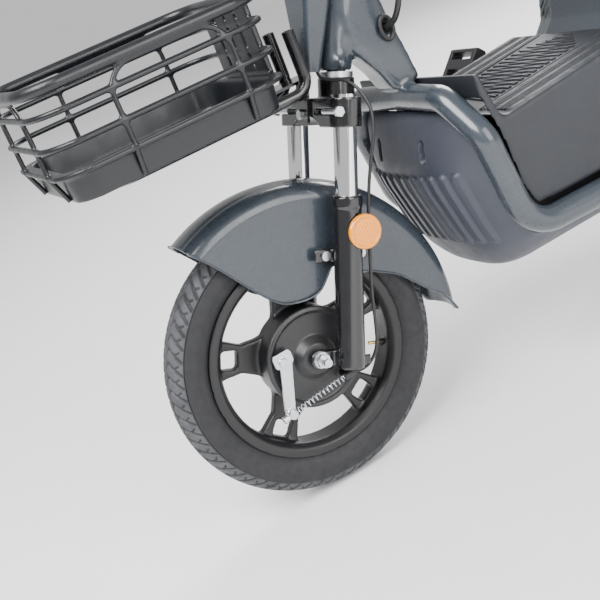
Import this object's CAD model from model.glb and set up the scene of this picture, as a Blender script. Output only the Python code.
import bmesh
import bpy
import numpy as np
from mathutils import Matrix


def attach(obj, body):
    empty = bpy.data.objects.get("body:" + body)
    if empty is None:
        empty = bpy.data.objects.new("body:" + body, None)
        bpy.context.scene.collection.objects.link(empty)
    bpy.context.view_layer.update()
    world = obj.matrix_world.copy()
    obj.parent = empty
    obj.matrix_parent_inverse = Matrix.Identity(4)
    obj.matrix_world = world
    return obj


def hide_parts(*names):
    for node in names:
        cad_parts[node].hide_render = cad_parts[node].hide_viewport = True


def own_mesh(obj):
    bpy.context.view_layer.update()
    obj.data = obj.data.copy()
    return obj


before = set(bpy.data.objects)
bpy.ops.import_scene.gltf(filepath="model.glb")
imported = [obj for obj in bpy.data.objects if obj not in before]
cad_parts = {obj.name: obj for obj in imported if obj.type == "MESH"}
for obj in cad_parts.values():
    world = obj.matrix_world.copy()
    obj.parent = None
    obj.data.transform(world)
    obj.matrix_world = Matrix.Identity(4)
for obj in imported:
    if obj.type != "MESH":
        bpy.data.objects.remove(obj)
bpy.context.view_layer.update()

# %% [markdown]
# Two rulers are enough for the whole machine. One counts millimetres from the front axle, level
# with the ground. The other leans back with the fork, so that its third number runs up the legs.
# %% Two rulers
FRONT = np.array([0.590, 0.0, 0.2155])
REAR = np.array([-0.590, 0.0, 0.2155])
LEAN = np.radians(21.4)
SIDES = (1, -1)


def level(x, y, z, origin=FRONT):
    """origin + (x, y, z), the three in millimetres."""
    return origin + np.stack(np.broadcast_arrays(x, y, z), -1).astype(float) / 1000


def leaning(x, y, z):
    """Front axle + x along the fork's forward normal + y to the left + z up the fork."""
    x, y, z = np.broadcast_arrays(x, y, z)
    turned = [x * np.cos(LEAN) - z * np.sin(LEAN), y, x * np.sin(LEAN) + z * np.cos(LEAN)]
    return FRONT + np.stack(turned, -1) / 1000


def unit(v):
    """v over its own length."""
    v = np.asarray(v, float)
    return v / np.linalg.norm(v, axis=-1, keepdims=True)


# %% [markdown]
# ## Surfaces from arrays
#
# Every new piece is a grid of points worked out at once. A lathe turns a profile round an axis, and
# a tube carries a circle along a path. Rings of radius zero close the ends.
# %% Grids, lathes and tubes
def grid(points, wrap_u=False, wrap_v=False):
    """Quads over an array of points (rows, columns, 3); a wrapped side joins its last row to its first."""
    rows, columns = points.shape[:2]
    number = np.arange(rows * columns).reshape(rows, columns)
    if wrap_u:
        number = np.vstack([number, number[:1]])
    if wrap_v:
        number = np.hstack([number, number[:, :1]])
    quads = np.stack([number[:-1, :-1], number[1:, :-1], number[1:, 1:], number[:-1, 1:]], -1)
    return points.reshape(-1, 3), quads.reshape(-1, 4).tolist()


def crossed(axis):
    """Two unit vectors at right angles to axis and to each other."""
    axis = unit(axis)
    helper = np.array([0.0, 0.0, 1.0]) if abs(axis[2]) < 0.9 else np.array([1.0, 0.0, 0.0])
    first = unit(np.cross(helper, axis))
    return first, np.cross(axis, first)


def lathe(profile, origin, axis, steps=72, closed=False):
    """origin + h axis + r (cos a e1 + sin a e2) for each row (r, h) in millimetres of the profile."""
    profile = np.asarray(profile, float) / 1000
    a = np.linspace(0, 2 * np.pi, steps, endpoint=False)
    first, second = crossed(axis)
    ring = np.cos(a)[:, None] * first + np.sin(a)[:, None] * second
    points = origin + profile[:, None, :1] * ring + profile[:, None, 1:] * unit(axis)
    return grid(points, wrap_u=closed, wrap_v=True)


def tube(path, radius, sides=12, closed=False):
    """Path point + radius (cos a n + sin a b), where n turns with the path and never twists."""
    path = np.asarray(path, float)
    radius = np.broadcast_to(np.asarray(radius, float) / 1000, len(path))
    if closed:
        tangent = unit(np.roll(path, -1, 0) - np.roll(path, 1, 0))
    else:
        tangent = unit(np.gradient(path, axis=0))
    normal = [crossed(tangent[0])[0]]
    for direction in tangent[1:]:
        carried = normal[-1] - direction * (normal[-1] @ direction)
        normal.append(unit(carried))
    normal = np.array(normal)
    across = np.cross(tangent, normal)
    if closed:
        slip = np.arctan2(normal[-1] @ across[0], normal[-1] @ normal[0])
        turn = -slip * np.arange(len(path)) / len(path)
    else:
        turn = np.zeros(len(path))
    a = np.linspace(0, 2 * np.pi, sides, endpoint=False)[None, :] + turn[:, None]
    ring = np.cos(a)[..., None] * normal[:, None] + np.sin(a)[..., None] * across[:, None]
    points = path[:, None] + radius[:, None, None] * ring
    if not closed:
        ends = [np.repeat(path[:1, None], sides, 1), np.repeat(path[-1:, None], sides, 1)]
        points = np.concatenate([ends[0], points, ends[1]])
    return grid(points, wrap_u=closed, wrap_v=True)


def rounded(corners, radius, steps=7, closed=False):
    """The corners' runs with each corner swapped for a quadratic curve that starts radius away from it."""
    corners = np.asarray(corners, float)
    before, after = np.roll(corners, 1, 0), np.roll(corners, -1, 0)
    room_in = np.linalg.norm(before - corners, axis=1, keepdims=True)
    room_out = np.linalg.norm(after - corners, axis=1, keepdims=True)
    start = corners + (before - corners) * np.minimum(radius / room_in, 0.48)
    end = corners + (after - corners) * np.minimum(radius / room_out, 0.48)
    t = np.linspace(0, 1, steps)[None, :, None]
    bends = (1 - t) ** 2 * start[:, None] + 2 * t * (1 - t) * corners[:, None] + t ** 2 * end[:, None]
    if closed:
        return bends.reshape(-1, corners.shape[1])
    inner = bends[1:-1].reshape(-1, corners.shape[1])
    return np.concatenate([corners[:1], inner, corners[-1:]])


def resampled(path, count, closed=False):
    """count points at equal steps along the path."""
    path = np.asarray(path, float)
    if closed:
        path = np.concatenate([path, path[:1]])
    run = np.concatenate([[0], np.cumsum(np.linalg.norm(np.diff(path, axis=0), axis=1))])
    s = np.linspace(0, run[-1], count, endpoint=not closed)
    return np.stack([np.interp(s, run, path[:, k]) for k in range(path.shape[1])], -1)


def ramp(x, low, high):
    """0 below low, 1 above high, and the smooth cubic 3t^2 - 2t^3 between."""
    t = np.clip((x - low) / (high - low), 0, 1)
    return t * t * (3 - 2 * t)


# %% [markdown]
# A finished piece is a list of such surfaces in one mesh. Doubled points are merged, faces are turned
# outwards, and the piece is told which body carries it and which solids it stands for.
# %% From surfaces to a piece
made = []


def piece(name, parts, material, body, replaces=(), sharp=35, merge=True, values=None):
    """One mesh object from several (points, faces) parts, riding on a body."""
    points, faces, start = [], [], 0
    for part_points, part_faces in parts:
        points.append(part_points)
        faces += [[k + start for k in face] for face in part_faces]
        start += len(part_points)
    mesh = bpy.data.meshes.new(name)
    mesh.from_pydata(np.concatenate(points).tolist(), [], faces)
    work = bmesh.new()
    work.from_mesh(mesh)
    if merge:
        bmesh.ops.remove_doubles(work, verts=work.verts, dist=2e-6)
    bmesh.ops.recalc_face_normals(work, faces=work.faces)
    work.to_mesh(mesh)
    work.free()
    for key, numbers in (values or {}).items():
        mesh.attributes.new(key, "FLOAT", "POINT").data.foreach_set("value", np.asarray(numbers, "f"))
    return settle(name, mesh, material, body, replaces, sharp)


def settle(name, mesh, material, body, replaces=(), sharp=35):
    """Shade, paint and place a mesh, and record what it stands for."""
    mesh.shade_smooth()
    mesh.set_sharp_from_angle(angle=np.radians(sharp))
    mesh.materials.clear()
    mesh.materials.append(material)
    obj = bpy.data.objects.new(name, mesh)
    bpy.context.scene.collection.objects.link(obj)
    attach(obj, body)
    if replaces:
        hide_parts(*replaces)
    made.append(name)
    return obj


def baked(obj):
    """The object's mesh with its modifiers worked in, and the modifiers gone."""
    mesh = bpy.data.meshes.new_from_object(obj.evaluated_get(bpy.context.evaluated_depsgraph_get()))
    obj.modifiers.clear()
    obj.data = mesh
    return mesh


def solid_copy(nodes):
    """A merged copy of the named solids as one loose mesh object."""
    work = bmesh.new()
    for node in nodes:
        work.from_mesh(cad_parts[node].data)
    bmesh.ops.remove_doubles(work, verts=work.verts, dist=1e-6)
    mesh = bpy.data.meshes.new("copy")
    work.to_mesh(mesh)
    work.free()
    obj = bpy.data.objects.new("copy", mesh)
    bpy.context.scene.collection.objects.link(obj)
    return obj


def softened(name, nodes, voxel, passes, material, body):
    """The nodes' solids re-skinned on cubes of voxel millimetres, each point then moved passes times
    halfway to the mean of its neighbours: hard CAD edges turn into a casting's or a weld's fillets."""
    obj = solid_copy(nodes)
    skin = obj.modifiers.new("skin", "REMESH")
    skin.mode = "VOXEL"
    skin.voxel_size = voxel / 1000
    relax = obj.modifiers.new("relax", "SMOOTH")
    relax.factor = 0.5
    relax.iterations = passes
    mesh = baked(obj)
    bpy.data.objects.remove(obj)
    print(name, len(mesh.polygons), "faces")
    return settle(name, mesh, material, body, nodes, sharp=60)


# %% [markdown]
# ## Finishes
#
# Real paint, rubber and plastic are never one flat colour. Each finish below has a slow drift of
# colour, a roughness that wanders a little, and a fine grain that only bends the light.
# %% Node helpers
def nodes_of(name):
    """A new material with its node tree and its Principled shader."""
    material = bpy.data.materials.new(name)
    material.use_nodes = True
    return material, material.node_tree, material.node_tree.nodes["Principled BSDF"]


def noise(tree, scale, detail=3.0, stretch=None):
    """Noise on object coordinates; stretch scales the three axes, for brushed lines."""
    coords = tree.nodes.new("ShaderNodeTexCoord")
    source = coords.outputs["Object"]
    if stretch:
        mapping = tree.nodes.new("ShaderNodeMapping")
        mapping.inputs["Scale"].default_value = stretch
        tree.links.new(source, mapping.inputs["Vector"])
        source = mapping.outputs["Vector"]
    texture = tree.nodes.new("ShaderNodeTexNoise")
    texture.inputs["Scale"].default_value = scale
    texture.inputs["Detail"].default_value = detail
    tree.links.new(source, texture.inputs["Vector"])
    return texture.outputs["Fac"]


def spread(tree, source, low, high, start=0.3, stop=0.7):
    """source, from start to stop, mapped onto low to high."""
    node = tree.nodes.new("ShaderNodeMapRange")
    node.inputs["From Min"].default_value = start
    node.inputs["From Max"].default_value = stop
    node.inputs["To Min"].default_value = low
    node.inputs["To Max"].default_value = high
    tree.links.new(source, node.inputs["Value"])
    return node.outputs["Result"]


def mixed(tree, factor, first, second):
    """Colour between first and second by factor; either may be a colour or a socket."""
    node = tree.nodes.new("ShaderNodeMix")
    node.data_type = "RGBA"
    tree.links.new(factor, node.inputs["Factor"])
    for socket, value in ((node.inputs[6], first), (node.inputs[7], second)):
        if isinstance(value, (tuple, list)):
            socket.default_value = (*value, 1)
        else:
            tree.links.new(value, socket)
    return node.outputs[2]


def bumped(tree, shader, height, depth, strength=1.0, under=None):
    """Bend the light by a height, depth in millimetres."""
    node = tree.nodes.new("ShaderNodeBump")
    node.inputs["Strength"].default_value = strength
    node.inputs["Distance"].default_value = depth / 1000
    tree.links.new(height, node.inputs["Height"])
    if under:
        tree.links.new(under, node.inputs["Normal"])
    tree.links.new(node.outputs["Normal"], shader.inputs["Normal"])
    return node.outputs["Normal"]


def finish(name, colour, rough, metal=0.0, coat=0.0, drift=0.12, grain=900, depth=0.02, rough_drift=0.06,
           stretch=None, drift_size=9):
    """A finish with drifting colour, wandering roughness and a fine grain."""
    material, tree, shader = nodes_of(name)
    slow = noise(tree, drift_size, 4)
    dark = tuple(c * (1 - drift) for c in colour)
    light = tuple(min(1, c * (1 + drift)) for c in colour)
    tree.links.new(mixed(tree, spread(tree, slow, 0, 1), dark, light), shader.inputs["Base Color"])
    wander = noise(tree, 60, 3, stretch)
    tree.links.new(spread(tree, wander, rough - rough_drift, rough + rough_drift), shader.inputs["Roughness"])
    bumped(tree, shader, noise(tree, grain, 2, stretch), depth)
    shader.inputs["Metallic"].default_value = metal
    shader.inputs["Coat Weight"].default_value = coat
    shader.inputs["Coat Roughness"].default_value = 0.06
    return material


# %% [markdown]
# The painted and moulded parts share one slate colour. The fork, crown and carrier are gloss black,
# the castings satin black, and the basket, nose and floor are three different moulded plastics.
# %% The finishes
SLATE = (0.028, 0.036, 0.046)
paint = finish("slate_paint", SLATE, 0.30, coat=0.6, drift=0.03, grain=300, depth=0.003)
slate_shell = finish("slate_shell", SLATE, 0.29, coat=0.4, drift=0.03, grain=300, depth=0.003)
black_gloss = finish("black_gloss", (0.004, 0.004, 0.005), 0.22, coat=0.6, drift=0.2, grain=900, depth=0.01)
black_cast = finish("black_cast", (0.005, 0.005, 0.006), 0.40, drift=0.25, grain=1300, depth=0.05)
plate_cast = finish("plate_cast", (0.014, 0.014, 0.015), 0.38, drift=0.25, grain=1300, depth=0.05)
basket_plastic = finish("basket_plastic", (0.006, 0.007, 0.009), 0.34, drift=0.12, grain=2200, depth=0.02)
nose_plastic = finish("nose_plastic", (0.036, 0.040, 0.055), 0.46, drift=0.08, grain=2600, depth=0.03)
floor_plastic = finish("floor_plastic", (0.016, 0.018, 0.023), 0.50, drift=0.10, grain=2400, depth=0.04)
black_plastic = finish("black_plastic", (0.012, 0.012, 0.014), 0.45, drift=0.12, grain=2600, depth=0.03)
seal_rubber = finish("seal_rubber", (0.014, 0.014, 0.014), 0.62, drift=0.15, grain=1800, depth=0.03)
cable_skin = finish("cable_skin", (0.012, 0.012, 0.012), 0.40, drift=0.1, grain=1500, depth=0.01)
chrome = finish("chrome", (0.86, 0.86, 0.87), 0.09, metal=1, drift=0.02, grain=500, depth=0.002,
                rough_drift=0.02)
zinc = finish("zinc_plate", (0.62, 0.64, 0.66), 0.30, metal=1, drift=0.10, grain=700, depth=0.02,
              drift_size=60)
alloy = finish("brushed_alloy", (0.62, 0.62, 0.63), 0.32, metal=1, drift=0.06, depth=0.01,
               stretch=(1, 12, 12))
brass = finish("brass", (0.72, 0.50, 0.20), 0.28, metal=1, drift=0.08, depth=0.01)
red_plastic = finish("red_plastic", (0.42, 0.02, 0.015), 0.30, coat=0.3, drift=0.06)
print("finishes:", len(bpy.data.materials))


# %% [markdown]
# Four finishes need more than grain. Tyre rubber greys where it has rolled, seat vinyl has pebbles
# pressed in, amber lenses let some light through, and a mirror's glass is plain silver.
# %% Rubber, vinyl, lenses
def tyre_rubber():
    """Black rubber that the mesh's own dust value turns grey."""
    material, tree, shader = nodes_of("tyre_rubber")
    dust = tree.nodes.new("ShaderNodeAttribute")
    dust.attribute_name = "dust"
    patches = spread(tree, noise(tree, 35, 6), 0.35, 1.0)
    product = tree.nodes.new("ShaderNodeMath")
    product.operation = "MULTIPLY"
    tree.links.new(dust.outputs["Fac"], product.inputs[0])
    tree.links.new(patches, product.inputs[1])
    colour = mixed(tree, product.outputs["Value"], (0.008, 0.008, 0.010), (0.066, 0.068, 0.074))
    tree.links.new(colour, shader.inputs["Base Color"])
    tree.links.new(spread(tree, noise(tree, 90, 4), 0.52, 0.72), shader.inputs["Roughness"])
    bumped(tree, shader, noise(tree, 1400, 3), 0.08)
    return material


def seat_vinyl():
    """Black vinyl with pressed pebbles, from the distance to random cell centres."""
    material, tree, shader = nodes_of("seat_vinyl")
    coords = tree.nodes.new("ShaderNodeTexCoord")
    cells = tree.nodes.new("ShaderNodeTexVoronoi")
    cells.feature = "SMOOTH_F1"
    cells.inputs["Scale"].default_value = 420
    tree.links.new(coords.outputs["Object"], cells.inputs["Vector"])
    tree.links.new(mixed(tree, noise(tree, 12, 5), (0.011, 0.011, 0.012), (0.026, 0.026, 0.028)),
                   shader.inputs["Base Color"])
    tree.links.new(spread(tree, noise(tree, 50, 4), 0.40, 0.55), shader.inputs["Roughness"])
    folds = bumped(tree, shader, noise(tree, 45, 4), 0.5)
    bumped(tree, shader, cells.outputs["Distance"], 0.25, under=folds)
    return material


def lens(name, colour, rough, through, alpha=1.0):
    """Coloured clear plastic: through is how much light it lets pass."""
    material, tree, shader = nodes_of(name)
    slow = noise(tree, 40, 3)
    tree.links.new(mixed(tree, slow, tuple(c * 0.85 for c in colour), colour), shader.inputs["Base Color"])
    bumped(tree, shader, noise(tree, 700, 2), 0.02)
    shader.inputs["Roughness"].default_value = rough
    shader.inputs["Transmission Weight"].default_value = through
    shader.inputs["Coat Weight"].default_value = 0.5
    shader.inputs["Alpha"].default_value = alpha
    return material


rubber = tyre_rubber()
vinyl = seat_vinyl()
amber = lens("amber_lens", (0.93, 0.30, 0.004), 0.16, 0.0)
red_lens = lens("red_lens", (0.55, 0.010, 0.008), 0.14, 0.2)
clear_lens = lens("clear_lens", (0.92, 0.94, 0.96), 0.05, 0.9, 0.35)
screen_glass = lens("screen_glass", (0.008, 0.010, 0.014), 0.06, 0.0)
silver = finish("mirror_silver", (0.90, 0.91, 0.92), 0.03, metal=1, drift=0.01, depth=0.0, rough_drift=0.01)

# %% [markdown]
# Most solids keep their exact shape and only take a finish. The table names each of them once.
# %% Finishes on the solids that stay
STAYING = {
    black_gloss: ["basket_carrier", "handlebar", "handlebar_stem", "rear_rack", "shock_tops", "centre_stand"],
    black_plastic: ["battery_pack", "dash_housing", "headlamp_shell", "rear_fender", "seat_base",
                    "switch_pods", "tail_lamp"],
    slate_shell: ["front_cover"],
    zinc: ["fender_bolts", "frame_bearings_and_pins", "front_axle", "rear_axle", "rear_brake_arm",
           "steering_bolts"],
    alloy: ["controller", "front_brake_shoes"],
    chrome: ["fork_tubes", "shock_rods"],
    plate_cast: ["rear_brake_plate"],
    clear_lens: ["headlamp_lens"],
    red_plastic: ["horn_button"],
}
for material, names in STAYING.items():
    for name in names:
        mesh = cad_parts[name].data
        mesh.materials.clear()
        mesh.materials.append(material)
print("solids that stay:", sum(map(len, STAYING.values())))

# %% [markdown]
# ## View, light and floor
#
# The camera stands to the front left and a little above, close enough to look down on the fork. The
# floor is plain and pale. Three large soft lamps and a bright sky leave only faint shadows.
# %% Camera
camera = bpy.data.objects.new("view", bpy.data.cameras.new("view"))
camera.data.lens = 64.4
camera.data.sensor_width = 36
RIGHT = (-0.83006, 0.42245, -0.36405)
UP = (-0.46242, -0.15650, 0.87274)
BACK = (0.31171, 0.89277, 0.32526)
EYE = (1.0590, 1.4235, 0.8068)
camera.matrix_world = Matrix([[*row] for row in zip(RIGHT, UP, BACK, EYE)] + [[0, 0, 0, 1]])
bpy.context.scene.collection.objects.link(camera)
bpy.context.scene.camera = camera


# %% Lights and floor
def soft_lamp(name, place, size, power):
    """A square lamp that faces the middle of the machine."""
    data = bpy.data.lights.new(name, "AREA")
    data.shape = "SQUARE"
    data.size = size
    data.energy = power
    lamp = bpy.data.objects.new(name, data)
    back = unit(np.array(place) - (0.1, 0, 0.45))
    first, second = crossed(back)
    lamp.matrix_world = Matrix([[*row] for row in zip(first, second, back, place)] + [[0, 0, 0, 1]])
    bpy.context.scene.collection.objects.link(lamp)


soft_lamp("key", (2.2, 1.2, 3.0), 2.2, 250)
soft_lamp("side", (-0.6, 3.4, 1.6), 2.4, 120)
soft_lamp("back", (-2.6, -2.0, 2.6), 2.4, 190)
world = bpy.data.worlds.new("studio")
world.use_nodes = True
world.node_tree.nodes["Background"].inputs["Color"].default_value = (1, 1, 1, 1)
world.node_tree.nodes["Background"].inputs["Strength"].default_value = 0.70
bpy.context.scene.world = world
floor_paint = finish("floor_paint", (0.90, 0.90, 0.90), 0.7, drift=0.01, depth=0.0)
floor_mesh = bpy.data.meshes.new("floor")
floor_mesh.from_pydata([(-9, -9, 0), (9, -9, 0), (9, 9, 0), (-9, 9, 0)], [], [(0, 1, 2, 3)])
floor_mesh.materials.append(floor_paint)
floor = bpy.data.objects.new("floor", floor_mesh)
bpy.context.scene.collection.objects.link(floor)

# %% [markdown]
# ## Wheels
#
# The tyre is a ring whose radius depends on two angles: once round the wheel and once across the
# tread. Grooves are cut into the radius itself, so the tread is real shape and shows at the edge.
# %% Tyres
TYRE_R, TREAD_R = 215.5, 31.0
RIM_R = 158.5
PITCHES = 66
GROOVE = 2.6


def wave(t):
    """Triangle wave between -1 and 1 with period 1."""
    return 4 * np.abs(t - np.floor(t + 0.5)) - 1


def cut(distance, width):
    """1 inside a groove of that half width, falling smoothly to 0 at its lip."""
    return 1 - ramp(np.abs(distance), width * 0.6, width * 1.3)


def tread(turn, lean):
    """Depth of the grooves, 0 to 1: turn counts pitches round the wheel, lean is degrees from the crown."""
    side = np.abs(lean)
    zigzag = cut(side - 13 - 3.2 * wave(turn), 2.1)
    centre = cut(lean - 2.2 * wave(turn + 0.25), 1.2) * 0.8
    slant = turn + side / 46
    sipes = cut(slant - np.round(slant), 0.13) * ramp(side, 15, 19) * (1 - ramp(side, 61, 66))
    chevron = turn + 0.5 - side / 60
    short = cut(chevron - np.round(chevron), 0.09) * ramp(side, 36, 40) * (1 - ramp(side, 52, 56)) * 0.8
    middle = turn + side / 26
    notches = cut(middle - np.round(middle), 0.10) * (1 - ramp(side, 9, 12)) * 0.7
    edge = cut(side - 68, 1.6) * 0.6
    return np.maximum.reduce(np.broadcast_arrays(zigzag, centre, sipes, short, notches, edge))


def tyre(name, axle, body, node):
    """(r, y) round the section, r sunk by GROOVE where the tread is cut, turned about the axle."""
    around = np.linspace(0, 2 * np.pi, PITCHES * 12, endpoint=False)
    lean = np.linspace(-90, 90, 82)
    wall = np.linspace(1, 0, 8, endpoint=False)[::-1]
    flank_r = RIM_R + 0.6 + wall * 25.0
    flank_y = 24.0 + 7.0 * np.sin(wall * np.pi / 2)
    ridge = 0.7 * np.exp(-((wall - 0.30) / 0.1) ** 2) + 0.5 * np.exp(-((wall - 0.7) / 0.08) ** 2)
    inside = np.array([[RIM_R - 4, -20], [RIM_R + 20, -24], [RIM_R + 44, 0], [RIM_R + 20, 24],
                       [RIM_R - 4, 20]])
    crown_r = TYRE_R - TREAD_R + TREAD_R * np.cos(np.radians(lean))
    crown_y = TREAD_R * np.sin(np.radians(lean))
    depth = GROOVE * tread(around[:, None] * PITCHES / (2 * np.pi), lean[None, :])
    crown = np.stack([crown_r - depth * np.cos(np.radians(lean)),
                      crown_y - depth * np.sin(np.radians(lean))], -1)
    left = np.stack([flank_r, -(flank_y + ridge)], -1)
    right = np.stack([flank_r, flank_y + ridge], -1)[::-1]
    fixed = [np.broadcast_to(part, (len(around), *part.shape)) for part in (left, right, inside[::-1])]
    section = np.concatenate([fixed[0], crown, fixed[1], fixed[2]], 1)
    r, y = section[..., 0], section[..., 1]
    points = level(r * np.cos(around)[:, None], y, r * np.sin(around)[:, None], axle)
    dust = np.zeros(r.shape)
    dust[:, 8:90] = ramp(72 - np.abs(lean), 0, 10) * (1 - 0.65 * depth / GROOVE)
    obj = piece(name, [grid(points, True, True)], rubber, body, [node], merge=False,
                values={"dust": dust.ravel()})
    return obj


tyre("tyre_front", FRONT, "front_wheel", "front_tyre")
tyre("tyre_rear", REAR, "rear_wheel", "rear_tyre")

# %% [markdown]
# Cast wheels have no sharp inner corners, because molten metal can't fill them. Re-skinning the solid
# on small cubes and relaxing it gives every edge the fillet that a mould would leave.
# %% Cast wheels, crown and legs
softened("wheel_front", ["front_wheel_casting"], 2.3, 4, black_cast, "front_wheel")
softened("wheel_rear", ["rear_hub_motor_wheel"], 3.0, 4, black_cast, "rear_wheel")
softened("fork_crown_cast", ["fork_crown"], 1.3, 6, black_gloss, "steering")
softened("fork_legs_cast", ["fork_legs"], 1.9, 4, black_gloss, "fork_lower")
softened("brake_plate", ["front_brake_plate"], 1.2, 4, plate_cast, "fork_lower")
softened("brake_arm", ["front_brake_arm"], 0.7, 4, zinc, "front_arm")

# %% [markdown]
# The beam and the hoop are welded steel tube under thick paint. Skinned together, the two flow into
# each other with the wide fillet of a ground weld. The black tube frame gets the same, but less.
# %% Painted frame
softened("beam_and_hoop", ["main_beam", "body_hoop"], 3.6, 16, paint, "frame")
softened("tube_frame", ["chassis"], 3.8, 3, black_gloss, "frame")
softened("swingarm_welded", ["swingarm"], 3.0, 3, black_gloss, "swing")
softened("cranks_forged", ["crankset"], 2.2, 4, black_gloss, "cranks")
for side, name in ((1, "left"), (-1, "right")):
    softened("pedal_body_" + name, ["pedal_" + name], 1.3, 4, black_plastic, name + "_pedal")
    softened("lever_" + name, ["brake_lever_" + name], 0.9, 6, alloy, "lever_" + name)

# %% [markdown]
# ## Front mudguard
#
# The mudguard is a barrel over the tyre. At every angle round the wheel its section is a crowned roof
# that rolls over into two walls, and the walls end on a curve: deep at the fork, high at both ends.
# %% Mudguard surface
GUARD_R, GUARD_HALF, GUARD_ROLL = 258.0, 47.0, 26.0
GUARD_EDGE = np.array([(80, 186), (50, 140), (30, 112), (12, 94), (-20, 84), (-44, 84), (-62, 98), (-80, 116),
                       (-92, 98), (-108, 82), (-126, 79), (-172, 50), (-206, 9), (-236, -22)])


def guard_edge():
    """Lower edge as (angle, radius), rounded at its corners."""
    tips = [(GUARD_R * 0.97 * np.cos(a), GUARD_R * 0.97 * np.sin(a)) for a in np.radians((64, 191))]
    corners = np.concatenate([[tips[0]], GUARD_EDGE, [tips[1]]])
    edge = resampled(rounded(corners, 14, 6), 420)
    angle = np.degrees(np.arctan2(edge[:, 1], edge[:, 0])) % 360
    return np.maximum.accumulate(angle), np.hypot(edge[:, 0], edge[:, 1])


def mudguard():
    """Point at angle a and section length s: roof z = crown - s^2 drop, quarter roll, then wall."""
    angle, low = guard_edge()
    t = np.linspace(0, np.pi / 2, 12)
    roof_y = np.linspace(0, GUARD_HALF - GUARD_ROLL, 9)
    roof_r = GUARD_R - 3.0 * (roof_y / (GUARD_HALF - GUARD_ROLL)) ** 2
    roll_y = GUARD_HALF - GUARD_ROLL + GUARD_ROLL * np.sin(t[1:])
    roll_r = GUARD_R - 3.0 - GUARD_ROLL + GUARD_ROLL * np.cos(t[1:])
    y = np.concatenate([roof_y, roll_y, np.full(20, GUARD_HALF)])
    top = np.concatenate([roof_r, roll_r, np.full(20, roll_r[-1])])
    down = np.concatenate([np.zeros(len(roof_y) + len(roll_r)), np.linspace(0, 1, 21)[1:]])
    low = np.minimum(low, GUARD_R - 1)
    side_wall = roll_r[-1] + (low[:, None] - roll_r[-1]) * down
    radius = np.where(down > 0, side_wall, np.maximum(top, low[:, None]))
    radius = np.where(low[:, None] > roll_r[-1], np.maximum(top, low[:, None]), radius)
    y = np.broadcast_to(y, radius.shape).copy()
    a = np.radians(angle)[:, None]
    half = [level(radius * np.cos(a), side * y, radius * np.sin(a)) for side in SIDES]
    return np.concatenate([half[1][:, ::-1], half[0][:, 1:]], 1)


guard_points = mudguard()
guard = piece("mudguard_front", [grid(guard_points)], slate_shell, "fork_lower", ["front_fender"],
              sharp=60)
wall = guard.modifiers.new("thickness", "SOLIDIFY")
wall.thickness = 0.0024
wall.offset = -1
rim = resampled(np.concatenate([guard_points[:, 0], guard_points[-1, 1:-1], guard_points[::-1, -1],
                                guard_points[0, -2:0:-1]]), 700, closed=True)
piece("mudguard_rim", [tube(rim, 1.5, 8, closed=True)], slate_shell, "fork_lower")
bosses = []
for side in SIDES:
    for way in SIDES:
        spot = leaning(-42 + way * 28, side * 47, 150)
        profile = [(3.4, 0), (11, 0), (10, 3), (7.5, 9.5), (3.4, 9.5)]
        bosses.append(lathe(profile, spot, (0, side, 0), 40, closed=True))
piece("mudguard_bosses", bosses, slate_shell, "fork_lower")

# %% [markdown]
# ## Reflectors, springs and cables
#
# The round reflector is a dished amber lens in a rim, with small prisms pressed in. Height over the
# disc is the mean of three waves at 60 degrees, which makes hexagonal cells.
# %% Amber reflectors
def reflector(side):
    """Rim as a lathe, then a disc whose height carries hexagonal cells."""
    centre = leaning(-56, side * (78 + 20.85 + 3), 186)
    out = np.array([0, side, 0])
    rim_part = lathe([(0, 0), (25, 0), (25, 4.5), (23.6, 6.4), (21.2, 6.6), (19.6, 5.2)], centre, out, 80)
    turn = np.linspace(0, 2 * np.pi, 144, endpoint=False)
    r, a = np.meshgrid(np.linspace(0, 19.6, 40), turn, indexing="ij")
    u, v = r * np.cos(a), r * np.sin(a)
    cell = 2 * np.pi / 4.4
    waves = [np.cos(cell * (u * np.cos(k) + v * np.sin(k))) for k in np.radians((0, 60, 120))]
    height = 5.2 + 1.4 * (1 - (r / 19.6) ** 2) + 0.55 * sum(waves) / 3 * (1 - ramp(r, 16.4, 17.2))
    first, second = crossed(out)
    points = centre + (u[..., None] * first + v[..., None] * second + height[..., None] * out) / 1000
    return [rim_part, grid(points, wrap_v=True)]


piece("reflector_lenses", reflector(1) + reflector(-1), amber, "fork_lower", ["front_reflectors"],
      sharp=25)


# %% [markdown]
# A spring is a tube along a helix. The shock springs shorten with the swingarm, so they are squashed
# towards their upper seats by the share that the axle's rise takes from their length.
# %% Wound springs
def helix(start, end, radius, turns, flat=0.7):
    """start to end, plus radius (cos, sin) of the turn; the first and last turns lie nearly flat."""
    start, end = np.asarray(start, float), np.asarray(end, float)
    t = np.linspace(0, 1, int(turns * 22))
    first, second = crossed(end - start)
    a = 2 * np.pi * turns * t
    dead = flat / turns
    rise = np.interp(t, [0, dead, 1 - dead, 1], [0.0, 0.02, 0.98, 1.0])
    spin = np.cos(a)[:, None] * first + np.sin(a)[:, None] * second
    return start + rise[:, None] * (end - start) + radius / 1000 * spin


stop, clevis = level(-32, 60, -44), level(70, 60, -54)
run = unit(clevis - stop)
brake_coil = helix(stop + run * 0.0092, clevis - run * 0.0106, 4.6, 13)
piece("brake_spring_wound", [tube(brake_coil, 0.85, 8)], zinc, "fork_lower", ["front_brake_spring"])
SPRING_LOW, SPRING_HIGH = 57.6, 315.4
SHOCK_X, SHOCK_Y = -1100, 106


def shock_coil(side):
    """Twelve turns of 4.4 mm wire between the lower and the upper seat."""
    low, high = (level(SHOCK_X, side * SHOCK_Y, z) for z in (SPRING_LOW, SPRING_HIGH))
    return tube(helix(low, high, 20.6, 12), 2.2, 10)


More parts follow.
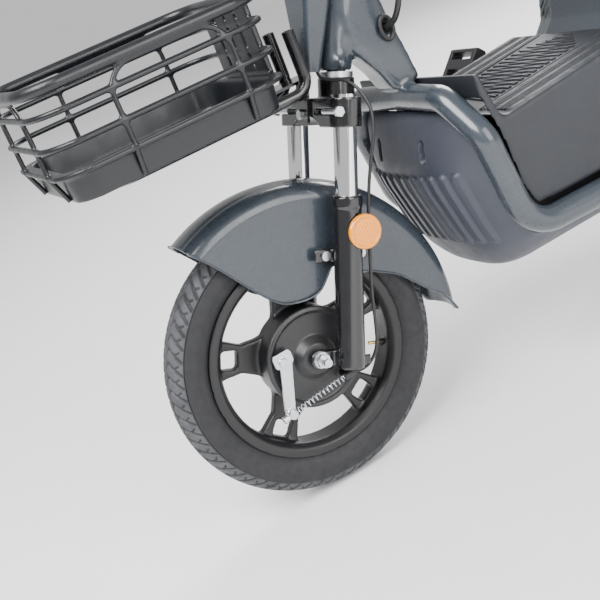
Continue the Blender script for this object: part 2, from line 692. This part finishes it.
coils = [shock_coil(side) for side in SIDES]
shock_coils = piece("shock_springs_wound", coils, black_gloss, "frame", ["shock_springs"])
tuple(level(SHOCK_X, 0, SPRING_HIGH))
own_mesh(shock_coils)


# %% [markdown]
# A cable is a smooth NURBS line through open space with a round bevel. Its control points follow the
# clips and corners that hold the real one.
# %% Brake cable and loom
def cable(name, points, diameter, body, node):
    """Smooth line of order three that starts and ends on its first and last control points."""
    data = bpy.data.curves.new(name, "CURVE")
    data.dimensions = "3D"
    data.bevel_depth = diameter / 2
    data.bevel_resolution = 4
    data.resolution_u = 10
    data.use_fill_caps = True
    line = data.splines.new("NURBS")
    line.points.add(len(points) - 1)
    line.points.foreach_set("co", np.concatenate([points, np.ones((len(points), 1))], 1).ravel())
    line.order_u = 3
    line.use_endpoint_u = True
    line.use_smooth = True
    data.materials.append(cable_skin)
    obj = bpy.data.objects.new(name, data)
    bpy.context.scene.collection.objects.link(obj)
    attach(obj, body)
    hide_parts(node)
    bare = data.copy()
    bare.bevel_depth = 0
    probe = bpy.data.objects.new("probe", bare)
    bpy.context.scene.collection.objects.link(probe)
    line_mesh = bpy.data.meshes.new_from_object(probe.evaluated_get(bpy.context.evaluated_depsgraph_get()))
    bpy.data.objects.remove(probe)
    return obj


BRAKE_ROUTE = np.array([(-33, 4, 446), (-33, 7, 402), (-40, 38, 396), (-54, 74, 396), (-71, 104, 362),
                        (-72, 107, 318), (-69, 99, 275), (-70, 90, 230), (-71, 87, 185), (-72, 88, 140),
                        (-74, 86, 95), (-79, 86, 52), (-84, 82, 14), (-79, 71, -13), (-66, 62, -26),
                        (-54.4, 60, -25.6)])
LOOM_ROUTE = np.array([(-300, 20, 385), (-300, 44, 386), (-306, 66, 404), (-318, 76, 440), (-334, 76, 486),
                       (-352, 70, 540), (-370, 62, 600), (-386, 57, 656), (-400, 53, 712), (-405, 50, 752),
                       (-401, 48, 784)])
cable("brake_cable_front", leaning(*BRAKE_ROUTE.T), 0.005, "steering", "front_brake_cable")
cable("loom", level(*LOOM_ROUTE.T), 0.009, "steering", "main_loom")


# %% [markdown]
# ## Body shells
#
# The shell behind the front wheel is blown forward like a dome from the hoop that frames it. Its middle
# line and its edge line are drawn side by side, and each row between them bulges as 1 - |s|^3.
# %% Nose shell
NOSE_LINES = [(-300, 256, -300, 256, 112), (-282, 247, -301, 249, 128), (-271, 225, -304, 226, 148),
              (-256, 168, -312, 178, 160), (-272, 108, -321, 118, 161), (-290, 45, -328, 66, 161),
              (-304, 12, -345, 44, 160), (-330, -22, -372, 38, 158), (-638, -22, -638, 38, 158)]
RIB_PITCH, RIB_DEEP, SLOT_DEEP = 23.0, 5.5, 11.0


def capsule(y, z, low, high):
    """Distance from (y, z) to the upright line y = 0 between low and high."""
    return np.hypot(y, np.maximum(0, np.maximum(z - high, low - z)))


def nose():
    """Edge + (middle - edge)(1 - |s|^3), with ribs raised and two slots sunk."""
    rows = resampled(rounded(NOSE_LINES, 40, 7), 200)
    s = np.linspace(-1, 1, 197)[None, :]
    bulge = 1 - np.abs(s) ** 3
    mid_x, mid_z, edge_x, edge_z, half = (rows[:, k:k + 1] for k in range(5))
    x = edge_x + (mid_x - edge_x) * bulge
    z = edge_z + (mid_z - edge_z) * bulge
    y = half * s
    place = y - RIB_PITCH * np.round(y / RIB_PITCH)
    ribs = 1 - ramp(capsule(place, z, 50, 160), 5.4, 8.4)
    ribs = ribs * (1 - ramp(np.abs(y), 124, 127)) * (mid_x > -312)
    slots = 1 - ramp(capsule(np.abs(y) - 62, z, 192, 214), 4.0, 6.2)
    slots = slots * (mid_x > -300)
    return level(x + RIB_DEEP * ribs - SLOT_DEEP * slots, y, z)


shell = piece("nose_shell_moulded", [grid(nose())], nose_plastic, "frame", ["nose_shell"],
              sharp=50)
wall = shell.modifiers.new("thickness", "SOLIDIFY")
wall.thickness = 0.0026
wall.offset = -1

# %% [markdown]
# The floor and the rear cover are plain mouldings with soft edges. Grip on the floor comes from fine
# ridges that run fore and aft beside the feet, and from a crossed patch between them.
# %% Footboard and rear cover
softened("footboard_moulded", ["footboard"], 3.6, 4, floor_plastic, "frame")
softened("rear_cover_moulded", ["rear_body"], 4.0, 4, slate_shell, "frame")
FLOOR_START, FLOOR_STOP = -372.0, -630.0


def floor_line(start, stop, height):
    """A low ridge between two (x, y) spots of the sloping floor, round in section."""
    t = np.linspace(0, 1, 14)
    x = start[0] + (stop[0] - start[0]) * t
    y = start[1] + (stop[1] - start[1]) * t
    return tube(level(x, y, 224 + 0.08 * (-345 - x) + height), 1.5, 6)


ridges = [floor_line((FLOOR_START, side * y), (FLOOR_STOP, side * y), 0.2) for side in SIDES
          for y in np.arange(82, 156, 6.6)]
for x in np.arange(-400, FLOOR_STOP, -13):
    reach = min(70, (x - FLOOR_STOP))
    ridges.append(floor_line((x, -reach), (x - reach * 0.25, reach), 0.2))
    ridges.append(floor_line((x, reach), (x - reach * 0.25, -reach), 0.2))
piece("footboard_ridges", ridges, floor_plastic, "frame")
GROMMET = level(-300, 0, 385)
a = np.linspace(0, 2 * np.pi, 48, endpoint=False)
ring = GROMMET + np.stack([0.010 * np.cos(a), np.full(48, 0.0315), 0.017 * np.sin(a)], -1)
piece("beam_grommet", [tube(ring, 3.2, 10, closed=True)], seal_rubber, "frame")

# %% [markdown]
# ## Basket
#
# The basket keeps its moulded cage. Its arched ribs run on down the tub's slanting wall, which gives
# the sides their three long uprights.
# %% Basket
softened("basket_moulded", ["basket"], 2.4, 2, basket_plastic, "steering")
TUB_FOOT, TUB_LIP = 365.0, 404.0


def wall_rib(x, y, lean_x, lean_y):
    """A round rib on the tub's outside, from its lip down to its foot."""
    path = [(x, y, TUB_LIP), (x - lean_x * 0.3, y - lean_y * 0.45, 392), (x - lean_x, y - lean_y, TUB_FOOT)]
    return tube(level(*resampled(path, 12).T), 3.6, 10)


wall_ribs = [wall_rib(x, side * 143.5, 0, side * 14) for side in SIDES for x in (-25, 140)]
wall_ribs += [wall_rib(243.5, side * 72, 14, 0) for side in SIDES]
piece("basket_wall_ribs", wall_ribs, basket_plastic, "steering")

# %% [markdown]
# ## Bar, lamps and mirrors
#
# A grip is a lathe whose radius carries 26 rings between a flange and a domed end.
# %% Grips
BAR_MIDDLE = leaning(-70, 0, 876)
GRIP_LONG = 118.0


def grip(name, side, body, node):
    """Profile (r, h) from 4 mm beyond the bar's end inwards, with a bore that the bar fills."""
    bend = BAR_MIDDLE + np.array([-0.015, side * 0.150, 0.030])
    end = BAR_MIDDLE + np.array([-0.064, side * 0.338, 0.030])
    h = np.linspace(6, GRIP_LONG - 14, 210)
    r = 15.2 + 0.9 * np.abs(np.sin(26 * np.pi * (h - 6) / (GRIP_LONG - 20)))
    rings = np.stack([r, h], -1)
    head = [(0, -4), (9, -4), (13, -3.2), (15.6, -0.5), (15.8, 4)]
    flange = [(15.6, 106), (15.8, 112.5), (20.5, 113), (21, 114), (21, 117), (20.4, 118), (11.6, 118),
              (11.6, 0), (0, 0)]
    profile = np.concatenate([head, rings, flange])
    parts = [lathe(profile, end, unit(bend - end), 56)]
    return piece(name, parts, seal_rubber, body, [node], sharp=40)


grip("grip_left_moulded", 1, "steering", "grip_left")
grip("grip_right_moulded", -1, "throttle", "throttle_grip")


# %% [markdown]
# Flat and domed parts are an outline stacked at several scales and heights: mirrors, lenses, screen.
# %% Stacked outlines
def stacked(outline, steps, origin, first, second):
    """origin + s (u first + v second) + h (first x second) for each step (s, h), in millimetres."""
    outline = np.asarray(outline, float)
    out = np.cross(first, second)
    rows = [s * (outline[:, :1] * first + outline[:, 1:] * second) + h * out for s, h in steps]
    return grid(np.asarray(origin) + np.array(rows) / 1000, wrap_v=True)


def oval(u, v, count=72):
    """An ellipse of radii u and v, a little squarer than a true one."""
    angle = np.linspace(0, 2 * np.pi, count, endpoint=False)
    c, s = np.cos(angle), np.sin(angle)
    return np.stack([u * np.sign(c) * np.abs(c) ** 0.85, v * np.sign(s) * np.abs(s) ** 0.85], -1)


def oblong(u, v, corner):
    """A rectangle u by v with rounded corners."""
    corners = [(-u / 2, -v / 2), (u / 2, -v / 2), (u / 2, v / 2), (-u / 2, v / 2)]
    return rounded(corners, corner, 7, closed=True)


X, Y, Z = np.eye(3)


def mirror(side, name):
    """Domed shell towards +X, glass towards -X, and a bent stalk down to the bar's clamp."""
    foot = np.array([0.1780, side * 0.1967, 1.0606])
    head = foot + np.array([8, side * 62, 150]) / 1000
    dome = [(0, 16), (0.35, 15.4), (0.6, 13.6), (0.8, 10.4), (0.92, 6.6), (0.99, 2.4), (1, 0), (0.985, -1.6),
            (0.955, -2.0), (0.945, -0.6), (0, -0.6)]
    knee = np.array([head[0] + 0.009, foot[1], head[2] - 0.008])
    stalk = rounded([foot, foot + [0, 0, 0.014], knee, head + [0.009, -side * 0.020, -0.004]], 0.020, 9)
    body = "left_mirror" if side > 0 else "right_mirror"
    parts = [stacked(oval(62, 46), dome, head, Y, Z), tube(stalk, 4, 14),
             lathe([(0, 0), (9, 0), (9, 9), (7, 13), (4, 14), (0, 14)], foot, (0, 0, 1), 6)]
    piece(name + "_shell", parts, black_plastic, body, [name])
    glass = [(0, -1.1), (0.93, -1.1), (0.94, -0.7), (0, -0.7)]
    piece(name + "_glass", [stacked(oval(62, 46), glass, head, Y, Z)], silver, body)


mirror(1, "mirror_left")
mirror(-1, "mirror_right")

# %% Screen, headlamp and tail lamps
TILT = np.radians(35)
DASH_U = np.array([np.cos(TILT), 0, np.sin(TILT)])
DASH_N = np.array([-np.sin(TILT), 0, np.cos(TILT)])
DASH = BAR_MIDDLE + np.array([0.006, 0, 0.0203])
screen = [(0, 42.6), (0.96, 42.6), (0.985, 42.0), (0.985, 40.2), (0, 40.2)]
dash_part = stacked(oblong(52, 92, 8), screen, DASH, DASH_U, np.cross(DASH_N, DASH_U))
piece("dash_screen", [dash_part], screen_glass, "steering")
LAMP = leaning(-70, 0, 748)
bowl = [(0, 44), (14, 44), (26, 50), (42, 62), (52, 78), (54.5, 90), (56.5, 90), (54, 77), (44, 60), (28, 47),
        (14, 41), (0, 41)]
piece("headlamp_bowl", [lathe(bowl, LAMP, X, 72)], chrome, "steering")
bulb = [(0, 62), (5, 61), (7, 57), (7, 44), (0, 44)]
piece("headlamp_bulb", [lathe(bulb, LAMP, X, 36)], clear_lens, "steering")
TAIL = level(-1414, 0, 437)
lens_steps = [(0, 16.4), (0.9, 16.2), (0.97, 15.2), (1.0, 12), (1.005, 1.0), (0.96, 0.2), (0, 0.2)]
tail_part = stacked(oblong(27, 165, 8), lens_steps, TAIL, Z, -Y)
piece("tail_lens", [tail_part], red_lens, "frame")
for side, name in ((1, "left"), (-1, "right")):
    spot = level(-1350, side * 138.3, 437)
    turn_steps = [(0, 35), (0.5, 34.2), (0.8, 31), (0.95, 25), (1.02, 14), (1.02, 9), (0.95, 8.4), (0, 8.4)]
    piece("turn_lamp_" + name, [stacked(oval(17.3, 26.3, 48), turn_steps, spot, Z, -Y)], amber, "frame")

# %% [markdown]
# Each wheel has a tyre valve that points at its axle: a rubber stem with a brass end.
# %% Tyre valves
VALVE = np.radians(202.7)
VALVE_SEAT = 0.153
for axle, body, name in ((FRONT, "front_wheel", "front"), (REAR, "rear_wheel", "rear")):
    inward = -np.array([np.cos(VALVE), 0, np.sin(VALVE)])
    seat = axle - inward * VALVE_SEAT
    stem = [(0, 0), (6.5, 0), (5.6, 4), (4.4, 8), (4.2, 22), (3.4, 23), (0, 23)]
    tip = [(0, 23), (2.6, 23), (2.6, 38), (3.1, 38.4), (3.1, 40), (2.2, 40.6), (0, 40.6)]
    piece("valve_stem_" + name, [lathe(stem, seat, inward, 24)], seal_rubber, body)
    piece("valve_tip_" + name, [lathe(tip, seat, inward, 24)], brass, body)

# %% [markdown]
# ## Seat
#
# The cushion and the backrest are foam under vinyl. Each starts from its solid, drawn in a little,
# is blown up as cloth for twenty steps, and may not move further than its cap.
# %% Padded pieces
def padded(name, node, body, shrink, cap):
    """The node's solid remeshed, shrunk about its middle, inflated by a cloth run and capped."""
    obj = solid_copy([node])
    skin = obj.modifiers.new("skin", "REMESH")
    skin.mode = "VOXEL"
    skin.voxel_size = 0.005
    relax = obj.modifiers.new("relax", "SMOOTH")
    relax.iterations = 4
    mesh = baked(obj)
    rest = np.empty(len(mesh.vertices) * 3)
    mesh.vertices.foreach_get("co", rest)
    rest = rest.reshape(-1, 3)
    middle = (rest.max(0) + rest.min(0)) / 2
    size = rest.max(0) - rest.min(0)
    rest = middle + (rest - middle) * (1 - 2 * shrink / 1000 / size)
    mesh.vertices.foreach_set("co", rest.ravel())
    blown = rest
    cloth = obj.modifiers.new("cloth", "CLOTH")
    cloth.settings.quality = 4
    cloth.settings.use_pressure = True
    cloth.settings.uniform_pressure_force = 4
    cloth.settings.effector_weights.gravity = 0
    cloth.point_cache.frame_start, cloth.point_cache.frame_end = 1, 20
    for step in range(1, 21):
        bpy.context.scene.frame_set(step)
        graph = bpy.context.evaluated_depsgraph_get()
        moved = obj.evaluated_get(graph).to_mesh()
    blown = np.empty(len(moved.vertices) * 3)
    moved.vertices.foreach_get("co", blown)
    blown = blown.reshape(-1, 3)
    obj.modifiers.clear()
    bpy.context.scene.frame_set(1)
    move = blown - rest
    far = np.linalg.norm(move, axis=1, keepdims=True)
    move = move * np.minimum(1, cap / 1000 / np.maximum(far, 1e-9))
    move[:, 2] = np.where(rest[:, 2] < rest[:, 2].min() + 0.012, np.maximum(move[:, 2], 0), move[:, 2])
    mesh.vertices.foreach_set("co", (rest + move).ravel())
    smooth = obj.modifiers.new("smooth", "SMOOTH")
    smooth.iterations = 3
    finer = obj.modifiers.new("finer", "SUBSURF")
    finer.levels = finer.render_levels = 1
    mesh = baked(obj)
    bpy.data.objects.remove(obj)
    print(name, "most moved", round(float(far.max()) * 1000, 1), "mm")
    pad = settle(name, mesh, vinyl, body, [node], sharp=70)
    return pad


padded("seat_padded", "seat_cushion", "seat", 4, 6)
padded("backrest_padded", "backrest_pad", "frame", 3, 5)
